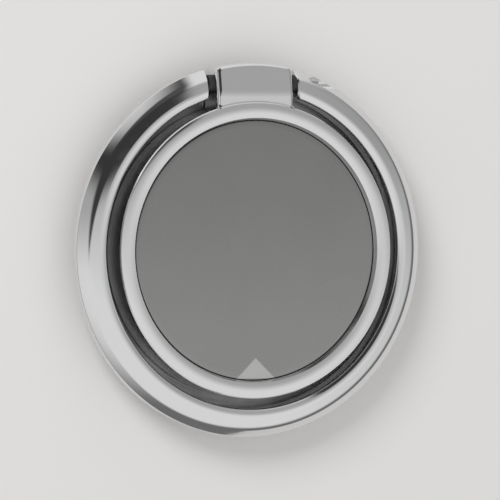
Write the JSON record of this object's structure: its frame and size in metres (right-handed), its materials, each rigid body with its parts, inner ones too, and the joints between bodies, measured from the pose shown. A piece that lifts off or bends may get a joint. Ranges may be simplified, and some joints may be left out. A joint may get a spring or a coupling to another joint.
{
  "type": "phone ring holder",
  "caption": "Round adhesive phone grip: a chrome finger ring hinged to a disc that turns on its base, folding flat around the disc or standing as a loop and prop.",
  "frame": {"origin": "middle of the adhesive face, on the axis that the disc turns about", "axes": "+Z out of the phone's back, along the swivel axis; +Y from the axis towards the hinge; +X to the right with the hinge at the top"},
  "size_m": [0.035, 0.035, 0.005],
  "materials": {
    "chrome": "polished chrome on cast zinc",
    "face": "smooth grey, half gloss",
    "base_metal": "dull nickel",
    "steel": "plain steel",
    "washer_plastic": "black nylon",
    "foam": "dark grey acrylic foam"
  },
  "bodies": {
    "base": {"adhesive_pad": "foam", "base_plate": "base_metal", "slip_washer": "washer_plastic", "centre_rivet": "steel"},
    "disc": {"swivel_disc": "chrome", "face_plate": "face", "spring_washer": "steel"},
    "ring": {"finger_ring": "chrome", "hinge_pin": "steel", "hinge_washer_left": "washer_plastic", "hinge_washer_right": "washer_plastic"}
  },
  "joints": [
    {"name": "swivel", "type": "hinge", "parent": "base", "child": "disc", "pos_m": [0, 0, 0.003], "axis": [0, 0, 1], "continuous": true},
    {"name": "ring_hinge", "type": "hinge", "parent": "disc", "child": "ring", "pos_m": [0, 0.01551, 0.0032], "axis": [-1, 0, 0], "range_deg": [0, 180]}
  ]
}
